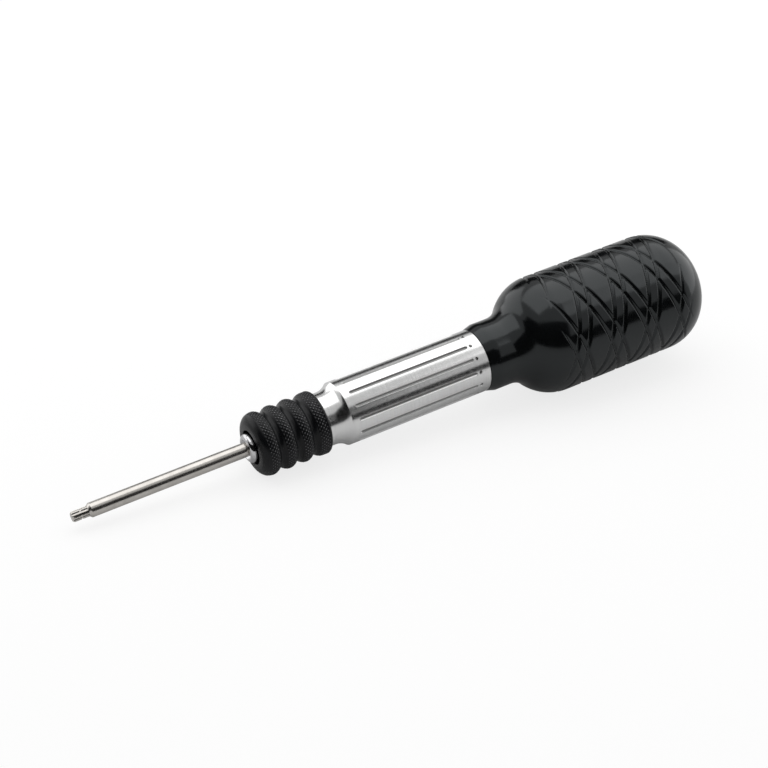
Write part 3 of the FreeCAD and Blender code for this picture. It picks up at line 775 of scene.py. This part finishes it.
@dataclass
class Barrel:
    """Turned aluminium barrel with flutes and dimples."""

    axis: ToolAxis
    front: float
    rear: float
    radius: float = 10.2 * MM
    spigot: float = 8.5 * MM
    spigot_length: float = 2.8 * MM
    flare_round: float = 6.5 * MM
    body: float = 49.6 * MM
    rim: float = 0.3 * MM
    bore: float = 5.5 * MM
    bore_depth: float = 8.3 * MM
    chamber: float = 8.2 * MM
    tail: float = 9.1 * MM
    flutes: int = 14
    flute_start: float = 2.4 * MM
    flute_length: float = 42.2 * MM
    flute_width: float = 0.9 * MM
    flute_depth: float = 0.45 * MM
    dimple_radius: float = 0.5 * MM
    dimple_depth: float = 0.55 * MM
    dimple_setback: float = 1.2 * MM
    flare_rows: int = 14
    close_rows: int = 14
    flute_rows: int = 10
    dimple_rows: int = 12
    dimple_margin: float = 1.2
    columns_per_flute: int = 32
    sharp: float = 28.0

    @property
    def columns(self) -> int:
        """Faces around the barrel, the same number for every flute."""
        return self.flutes * self.columns_per_flute

    def stations(self) -> tuple[float, float, float]:
        """Find where the barrel changes shape.

        Returns:
            Stations of the flare's start, the front rim and the grip's front edge.
        """
        flare = self.front + self.spigot_length
        rise = self.radius - self.spigot
        rim = flare + math.sqrt(self.flare_round ** 2 - (self.flare_round - rise) ** 2)
        return flare, rim, rim + self.body

    def outline(self) -> Outline:
        """Half outline with close rows where flutes and dimples end.

        Returns:
            The outline, closed.
        """
        flare, rim, grip = self.stations()
        lean = math.degrees(math.asin((rim - flare) / self.flare_round))
        first = rim + self.flute_start
        last = first + self.flute_length
        dimple = last + self.dimple_setback
        outline = Outline(self.front, self.bore)
        outline.line(self.front, self.spigot - self.rim / 2)
        outline.line(self.front + self.rim / 2, self.spigot)
        outline.line(flare, self.spigot, 3)
        hollow = (flare, self.spigot + self.flare_round)
        outline.arc(hollow, self.flare_round, 270, 270 + lean, self.flare_rows)
        outline.line(rim + self.rim / 3, self.radius)
        outline.line(first - self.flute_width / 2, self.radius, 3)
        outline.line(first + self.flute_width, self.radius, self.close_rows)
        outline.line(last - self.flute_width, self.radius, self.flute_rows)
        outline.line(last + self.flute_width / 2, self.radius, self.close_rows)
        outline.line(dimple - self.dimple_radius * self.dimple_margin, self.radius)
        outline.line(dimple + self.dimple_radius * self.dimple_margin, self.radius, self.dimple_rows)
        outline.line(grip - self.rim, self.radius, 4)
        outline.line(grip, self.radius - self.rim, 2)
        outline.line(grip, self.tail)
        outline.line(self.rear, self.tail, 2)
        outline.line(self.rear, self.chamber)
        outline.line(self.front + self.bore_depth, self.chamber, 2)
        outline.line(self.front + self.bore_depth, self.bore)
        return outline

    def cut(self, station: float, radius: float, turn: float) -> float:
        """Depth of the flutes and dimples below the barrel's full radius.

        Args:
            station: Station of the point.
            radius: Its radius before they are cut.
            turn: Its turn in radians.

        Returns:
            The depth in metres.
        """
        if radius < self.radius - TOLERANCE:
            return 0.0
        step = 2 * math.pi / self.flutes
        aside = abs((turn + step / 2) % step - step / 2) * self.radius
        first = self.stations()[1] + self.flute_start
        last = first + self.flute_length
        half = self.flute_width / 2
        beyond = max(first + half - station, station - (last - half), 0.0)
        share = min(1.0, math.hypot(aside, beyond) / half)
        depth = self.flute_depth * math.sqrt(max(0.0, 1 - share ** 2))
        dimple = math.hypot(aside, station - last - self.dimple_setback)
        share = min(1.0, dimple / self.dimple_radius)
        return max(depth, self.dimple_depth * math.sqrt(max(0.0, 1 - share ** 4)))

    def sink(self, station: float, radius: float, turn: float) -> float:
        """Radius of a point once flutes and dimples are cut."""
        return radius - self.cut(station, radius, turn)

    def mark(self, station: float, radius: float, turn: float) -> float:
        """How far a point is cut in, from 0 on the barrel to 1 on a dimple's floor."""
        return self.cut(station, radius, turn) / self.dimple_depth

    def build(self, material: bpy.types.Material) -> bpy.types.Object:
        """Model the barrel and put it in the scene."""
        bm = turned_mesh("barrel", self.outline(), self.columns, True, self.sink, self.mark)
        return finish_piece(
            "barrel_shell", bm, self.axis, material, Body.HOUSING, ["barrel"], self.sharp)


# ---- quick-change group ----


@dataclass
class Sleeve:
    """Black ridged sleeve with fine knurling on its crowns."""

    axis: ToolAxis
    front: float
    rear: float
    face: float = 7.3 * MM
    recess: float = 5.5 * MM
    crown: float = 10.15 * MM
    crown_station: float = 3.6 * MM
    crown_pitch: float = 5.6 * MM
    crown_round: float = 2.3 * MM
    crowns: int = 4
    valley: float = 1.25 * MM
    rear_round: float = 1.2 * MM
    ramp_depth: float = 4.9 * MM
    ramp_length: float = 4.2 * MM
    guide: float = 4.65 * MM
    guide_length: float = 3.5 * MM
    spring_room: float = 6.05 * MM
    rear_bore: float = 8.75 * MM
    rear_depth: float = 3.6 * MM
    knurl: float = 1.25 * MM
    knurl_depth: float = 0.27 * MM
    knurl_reach: float = 1.6 * MM
    knurl_fade: float = 0.2
    nose_rows: int = 34
    crown_rows: int = 15
    valley_rows: int = 8
    last_rows: int = 14
    rear_rows: int = 6
    columns_per_cell: int = 6
    sharp: float = 50.0

    @property
    def cells(self) -> int:
        """Cells of the knurl around a crown."""
        return round(2 * math.pi * self.crown / self.knurl)

    @property
    def columns(self) -> int:
        """Faces around the sleeve, the same number for every cell."""
        return self.cells * self.columns_per_cell

    def outline(self) -> Outline:
        """Half outline, round into round over the crowns.

        Returns:
            The outline, closed.
        """
        drop = self.crown - self.face
        nose = (self.crown_station ** 2 + drop ** 2) / (2 * drop)
        nose_lean = math.degrees(math.asin(self.crown_station / nose))
        half = self.crown_pitch / 2
        both = (half ** 2 + self.valley ** 2) / (2 * self.valley)
        lean = math.degrees(math.asin(half / both))
        hollow = both - self.crown_round
        first = self.front + self.crown_station
        outline = Outline(self.front, self.recess)
        outline.line(self.front, self.face)
        outline.arc((first, self.crown - nose), nose, 90 + nose_lean, 90, self.nose_rows)
        for number in range(self.crowns - 1):
            station = first + number * self.crown_pitch
            centre = (station, self.crown - self.crown_round)
            outline.arc(centre, self.crown_round, 90, 90 - lean, self.crown_rows)
            middle = (station + half, self.crown - self.valley + hollow)
            outline.arc(middle, hollow, 270 - lean, 270 + lean, self.valley_rows)
            following = (station + self.crown_pitch, self.crown - self.crown_round)
            outline.arc(following, self.crown_round, 90 + lean, 90, self.crown_rows)
        outline.line(self.rear - self.rear_round, self.crown, self.last_rows)
        corner = (self.rear - self.rear_round, self.crown - self.rear_round)
        outline.arc(corner, self.rear_round, 90, 10, self.rear_rows)
        outline.line(self.rear, self.rear_bore)
        outline.line(self.rear - self.rear_depth, self.rear_bore)
        outline.line(self.rear - self.rear_depth, self.spring_room)
        guide_end = self.front + self.ramp_depth + self.ramp_length + self.guide_length
        outline.line(guide_end, self.spring_room)
        outline.line(guide_end, self.guide)
        outline.line(guide_end - self.guide_length, self.guide)
        outline.line(self.front + self.ramp_depth, self.recess)
        return outline

    def pyramid(self, station: float, radius: float, turn: float) -> tuple[float, float]:
        """Shape of the knurl at a point.

        Args:
            station: Station of the point.
            radius: Its radius before the knurl is cut.
            turn: Its turn in radians.

        Returns:
            How deep it lies, from 0 on a tip to 1 in a cut, and the knurl's share here.
        """
        along = station - self.front - self.crown_station
        number = min(max(round(along / self.crown_pitch), 0), self.crowns - 1)
        aside = abs(along - number * self.crown_pitch)
        if radius < self.crown - self.valley or aside > self.knurl_reach:
            return 0.0, 0.0
        around = turn / (2 * math.pi) * self.cells
        across = (along - number * self.crown_pitch) / self.knurl
        depth = 0.0
        for hand in (1, -1):
            line = around + hand * across
            depth = max(depth, 1 - 2 * abs(line - round(line)))
        fade = self.knurl_fade * self.knurl_reach
        return depth, min(1.0, (self.knurl_reach - aside) / fade)

    def sink(self, station: float, radius: float, turn: float) -> float:
        """Radius of a point once the crowns are knurled."""
        depth, share = self.pyramid(station, radius, turn)
        return radius - self.knurl_depth * depth * share

    def mark(self, station: float, radius: float, turn: float) -> float:
        """How close a point is to a tip of the knurl, from 0 to 1."""
        depth, share = self.pyramid(station, radius, turn)
        return (1 - depth) * share

    def build(self, material: bpy.types.Material) -> bpy.types.Object:
        """Model the sleeve and put it in the scene."""
        bm = turned_mesh("sleeve", self.outline(), self.columns, True, self.sink, self.mark)
        return finish_piece(
            "sleeve_shell", bm, self.axis, material, Body.SLEEVE, ["lock_sleeve"], self.sharp)


@dataclass
class Socket:
    """Bright socket whose rounded nose stands out of the sleeve."""

    axis: ToolAxis
    front: float
    rear: float
    radius: float = 4.6 * MM
    nose_round: float = 1.3 * MM
    funnel: float = 3.1 * MM
    funnel_depth: float = 1.3 * MM
    bore: float = 2.3 * MM
    flange: float = 5.8 * MM
    flange_thickness: float = 1.0 * MM
    edge: float = 0.12 * MM
    nose_rows: int = 18
    columns: int = 160
    sharp: float = 30.0

    def build(self, material: bpy.types.Material) -> bpy.types.Object:
        """Model the socket and put it in the scene.

        Args:
            material: Its finish.

        Returns:
            The finished object.
        """
        centre = (self.front + self.nose_round, self.radius - self.nose_round)
        flange = self.rear - self.flange_thickness
        outline = Outline(self.front + self.funnel_depth, self.bore)
        outline.line(self.front + self.edge, self.funnel)
        outline.line(self.front, self.funnel + self.edge)
        outline.arc(centre, self.nose_round, 180, 90, self.nose_rows)
        outline.line(flange, self.radius, 4)
        outline.line(flange, self.flange)
        outline.line(self.rear, self.flange)
        outline.line(self.rear, self.bore)
        bm = turned_mesh("socket", outline, self.columns, True)
        nodes = ["coupling_socket"]
        return finish_piece("socket_shell", bm, self.axis, material, Body.OUTPUT, nodes, self.sharp)


@dataclass
class Blade:
    """Steel blade with a lobed star tip."""

    axis: ToolAxis
    rear: float
    radius: float = 2.25 * MM
    tip_radius: float = 1.66 * MM
    valley: float = 1.3 * MM
    lobes: int = 6
    tip_length: float = 5.1 * MM
    cone: float = 0.7 * MM
    chamfer: float = 0.35 * MM
    ring_station: float = 2.5 * MM
    ring_width: float = 0.5 * MM
    ring_depth: float = 0.3 * MM
    hollow_from: float = 0.8
    hollow_share: float = 1.6
    columns: int = 144
    sharp: float = 28.0

    def sink(self, station: float, radius: float, turn: float) -> float:
        """Cut the star's hollows.

        Args:
            station: Station of the point.
            radius: Its radius before they are cut.
            turn: Its turn in radians.

        Returns:
            Its radius.
        """
        beyond = station > self.tip_length - self.chamfer / 2
        if beyond or radius < self.valley * self.hollow_from:
            return radius
        step = 2 * math.pi / self.lobes
        hollow = (self.tip_radius - self.valley) * self.hollow_share
        centre = self.valley + hollow
        angle = abs(turn % step - step / 2)
        aside = centre * math.sin(angle)
        if aside >= hollow:
            return radius
        return min(radius, centre * math.cos(angle) - math.sqrt(hollow ** 2 - aside ** 2))

    def build(self, material: bpy.types.Material) -> bpy.types.Object:
        """Model the blade and put it in the scene.

        Args:
            material: Its finish.

        Returns:
            The finished object.
        """
        floor = self.tip_radius - self.ring_depth
        ring_end = self.ring_station + self.ring_width
        outline = Outline(0, 0).line(0, self.tip_radius - self.chamfer)
        outline.line(self.chamfer, self.tip_radius, 3)
        outline.line(self.ring_station, self.tip_radius, 6)
        outline.line(self.ring_station, floor)
        outline.line(ring_end, floor)
        outline.line(ring_end, self.tip_radius)
        outline.line(self.tip_length - self.chamfer, self.tip_radius, 6)
        outline.line(self.tip_length, self.tip_radius, 3)
        outline.line(self.tip_length + self.cone, self.radius, 4)
        outline.line(self.rear - self.chamfer, self.radius, 6)
        outline.line(self.rear, self.radius - self.chamfer)
        outline.line(self.rear, 0)
        bm = turned_mesh("blade", outline, self.columns, False, self.sink)
        nodes = ["blade"]
        return finish_piece("blade_shell", bm, self.axis, material, Body.OUTPUT, nodes, self.sharp)


# ---- inner pieces ----


@dataclass
class InnerPieces:
    """The solids inside, which keep their own meshes and get a finish."""

    nodes: dict[str, bpy.types.Object]
    finishes: dict[str, bpy.types.Material] = field(default_factory=dict)

    def dress(self) -> None:
        """Give every named solid its finish."""
        for name, material in self.finishes.items():
            mesh = self.nodes[name].data
            mesh.materials.clear()
            mesh.materials.append(material)
            log.info("%s: dressed in %s", name, material.name)


# ---- studio ----


def towards(azimuth: float, elevation: float, distance: float = 1.0) -> Vector:
    """Find a place in the studio.

    Args:
        azimuth: Degrees round from the camera's side of the tool (-Y) towards the grip's end (+X).
        elevation: Degrees above the floor.
        distance: Distance from the tool.

    Returns:
        The place.
    """
    around, above = math.radians(azimuth), math.radians(elevation)
    level = distance * math.cos(above)
    return Vector((level * math.sin(around), -level * math.cos(around), distance * math.sin(above)))


def flat_sheet(name: str, size: tuple[float, float], finish: str, shade: float) -> bpy.types.Object:
    """Make a flat matt sheet.

    Args:
        name: Name of the sheet.
        size: Width and height in metres.
        finish: Name of its material.
        shade: Its grey.

    Returns:
        The sheet, not yet in the scene.
    """
    bm = bmesh.new()
    bmesh.ops.create_grid(bm, x_segments=1, y_segments=1, size=0.5)
    bmesh.ops.scale(bm, vec=(*size, 1.0), verts=bm.verts)
    mesh = bpy.data.meshes.new(name)
    bm.to_mesh(mesh)
    bm.free()
    material = bpy.data.materials.new(finish)
    material.use_nodes = True
    principled = material.node_tree.nodes["Principled BSDF"]
    principled.inputs["Base Color"].default_value = (shade,) * 3 + (1,)
    principled.inputs["Specular IOR Level"].default_value = 0.0
    mesh.materials.append(material)
    return bpy.data.objects.new(name, mesh)


@dataclass(frozen=True)
class Panel:
    """A flat panel.

    Attributes:
        name: Name of the panel.
        place: Its middle, in metres.
        size: Width and height in metres.
        target: What it faces.
    """

    name: str
    place: Vector
    size: tuple[float, float]
    target: Vector = Vector((0, 0, 0.02))

    def hang(self, piece: bpy.types.Object) -> None:
        """Hang an object here, facing the target and out of the camera's view.

        Args:
            piece: The object.
        """
        piece.location = self.place
        piece.rotation_euler = (self.place - self.target).to_track_quat("Z", "Y").to_euler()
        piece.visible_camera = False
        bpy.context.collection.objects.link(piece)


@dataclass(frozen=True)
class SoftBox(Panel):
    """A soft box.

    Attributes:
        level: How bright its face is, where 1 is white.
    """

    level: float = 1.0

    def build(self) -> None:
        """Hang the lamp."""
        data = bpy.data.lights.new(self.name, "AREA")
        data.shape = "RECTANGLE"
        data.size, data.size_y = self.size
        data.energy = self.level * WATTS_A_LEVEL * self.size[0] * self.size[1]
        self.hang(bpy.data.objects.new(self.name, data))


@dataclass(frozen=True)
class Flag(Panel):
    """A black card that only shows in gloss.

    Attributes:
        shade: Grey of the card.
    """

    shade: float = 0.01

    def build(self) -> None:
        """Hang the card."""
        card = flat_sheet(self.name, self.size, "black_card", self.shade)
        card.visible_diffuse = False
        card.visible_shadow = False
        self.hang(card)


@dataclass
class Studio:
    """Pale floor, soft light and the camera."""

    axis: ToolAxis
    azimuth: float = math.radians(30.03)
    elevation: float = math.radians(30.98)
    distance: float = 574.6 * MM
    lens: float = 86.95
    sensor: float = 36.0
    clip_start: float = 10 * MM
    aim_station: float = 105.77 * MM
    aim_right: float = -1.22 * MM
    aim_up: float = 3.15 * MM
    floor_size: float = 12.0
    floor_colour: float = 0.6
    floor_roughness: float = 0.9
    floor_white: float = 1.3
    floor_share: float = 0.6
    gloss_share: float = 0.04
    world_level: float = 0.45
    world_gloss: float = 0.05
    boxes: tuple[SoftBox, ...] = (
        SoftBox("top_box", Vector((0.2, 0.29, 0.72)), (1.4, 0.86),
                Vector((0.2, 0.29, 0)), level=1.4),
        SoftBox("front_box", Vector((0.68, -0.34, 0.72)), (0.66, 0.40),
                Vector((0.68, -0.34, 0)), level=1.2),
        SoftBox("grip_end_box", towards(88, 16, 0.70), (0.62, 0.46), level=1.3),
        SoftBox("back_left_box", towards(-150, 22, 0.80), (0.9, 0.5), level=1.2),
    )
    flags: tuple[Flag, ...] = (
        Flag("camera_flag", towards(-20, 22, 0.50), (0.75, 0.55)),
        Flag("blade_flag", towards(-72, 17, 0.50), (0.5, 0.45)),
        Flag("low_flag", towards(30, 8, 0.50), (0.4, 0.17)),
        Flag("back_flag", towards(150, 19, 0.60), (0.6, 0.2)),
    )

    def floor(self) -> None:
        """Lay a plain pale floor that keeps the tool's shadow."""
        floor = flat_sheet("floor", (self.floor_size,) * 2, "floor", self.floor_colour)
        tree = floor.data.materials[0].node_tree
        principled = tree.nodes["Principled BSDF"]
        principled.inputs["Roughness"].default_value = self.floor_roughness
        white = tree.nodes.new("ShaderNodeEmission")
        white.inputs["Strength"].default_value = self.floor_white
        mix = tree.nodes.new("ShaderNodeMixShader")
        share = self.seen(tree, self.floor_share, self.gloss_share)
        tree.links.new(share, mix.inputs["Fac"])
        tree.links.new(principled.outputs["BSDF"], mix.inputs[1])
        tree.links.new(white.outputs["Emission"], mix.inputs[2])
        tree.links.new(mix.outputs["Shader"], tree.nodes["Material Output"].inputs["Surface"])
        bpy.context.collection.objects.link(floor)

    @staticmethod
    def seen(tree: bpy.types.NodeTree, camera: float, gloss: float) -> bpy.types.NodeSocket:
        """Weigh how a surface is looked at.

        Args:
            tree: Node tree to work in.
            camera: Result for the camera.
            gloss: Result for what is mirrored or seen through glass.

        Returns:
            The weight, which is 0 for the light that a surface passes on.
        """
        path = tree.nodes.new("ShaderNodeLightPath")
        total = None
        shares = {"Is Camera Ray": camera, "Is Glossy Ray": gloss, "Is Transmission Ray": gloss}
        for name, share in shares.items():
            part = tree.nodes.new("ShaderNodeMath")
            part.operation = "MULTIPLY_ADD"
            part.inputs[1].default_value = share
            part.inputs[2].default_value = 0.0
            tree.links.new(path.outputs[name], part.inputs[0])
            if total:
                tree.links.new(total, part.inputs[2])
            total = part.outputs["Value"]
        return total

    def world(self) -> None:
        """Even pale surroundings, white where the camera looks past the floor."""
        world = bpy.data.worlds.new("studio")
        world.use_nodes = True
        tree = world.node_tree
        background = tree.nodes["Background"]
        background.inputs["Color"].default_value = (1, 1, 1, 1)
        level = tree.nodes.new("ShaderNodeMath")
        level.operation = "ADD"
        level.inputs[1].default_value = self.world_level
        extra = self.seen(tree, 1 - self.world_level, self.world_gloss)
        tree.links.new(extra, level.inputs[0])
        tree.links.new(level.outputs["Value"], background.inputs["Strength"])
        bpy.context.scene.world = world

    def camera(self) -> None:
        """Put the camera where it sees the tool along its length, from above."""
        forward = -towards(-math.degrees(self.azimuth), math.degrees(self.elevation))
        right = Vector((forward.y, -forward.x, 0)).normalized()
        up = right.cross(forward)
        target = self.axis.tip + self.axis.direction * self.aim_station
        target = target + right * self.aim_right + up * self.aim_up
        data = bpy.data.cameras.new("camera")
        data.lens = self.lens
        data.sensor_width = self.sensor
        data.clip_start = self.clip_start
        camera = bpy.data.objects.new("camera", data)
        camera.location = target - forward * self.distance
        camera.rotation_euler = forward.to_track_quat("-Z", "Y").to_euler()
        bpy.context.collection.objects.link(camera)
        bpy.context.scene.camera = camera

    def build(self) -> None:
        """Set up everything around the tool."""
        self.floor()
        self.world()
        for panel in (*self.boxes, *self.flags):
            panel.build()
            log.info("%s: hung", panel.name)
        self.camera()
        bpy.context.scene.view_settings.view_transform = "Standard"


def main() -> None:
    """Build the dressed tool and its studio."""
    logging.basicConfig(level=logging.INFO, format="%(name)s: %(message)s")
    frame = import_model()
    nodes = frame["nodes"]
    axis = ToolAxis.from_record(frame["record"])

    plastic = GlossPlastic().build(axis)
    aluminium = TurnedAluminium().build(axis)
    anodised = BlackAnodised().build(axis)
    polished = POLISHED.build(axis)
    satin = BLADE_SATIN.build(axis)
    spring = SPRING.build(axis)
    hard = HARD.build(axis)
    balls = BALLS.build(axis)

    grip_front, _ = axis.span(nodes["handle_grip"])
    Grip(axis, grip_front).build(plastic)
    Barrel(axis, *axis.span(nodes["barrel"])).build(aluminium)
    Sleeve(axis, *axis.span(nodes["lock_sleeve"])).build(anodised)
    Socket(axis, *axis.span(nodes["coupling_socket"])).build(polished)
    Blade(axis, axis.span(nodes["blade"])[1]).build(satin)

    finishes = {name: hard for name in (
        "thrust_washer", "guide_pins", "spring_seat", "torque_adjuster", "lock_nut",
        "pressure_plate", "drive_shaft", "coupling_pin")}
    finishes |= {name: spring for name in ("clutch_spring", "sleeve_spring", "snap_ring")}
    finishes |= {name: balls for name in (
        "clutch_balls", "lock_ball_1", "lock_ball_2", "lock_ball_3")}
    finishes |= {
        "front_bush": BRONZE.build(axis), "shaft_seal": Felt().build(axis), "tail_plug": plastic}
    InnerPieces(nodes, finishes).dress()

    Studio(axis).build()


if __name__ == "__main__":
    main()
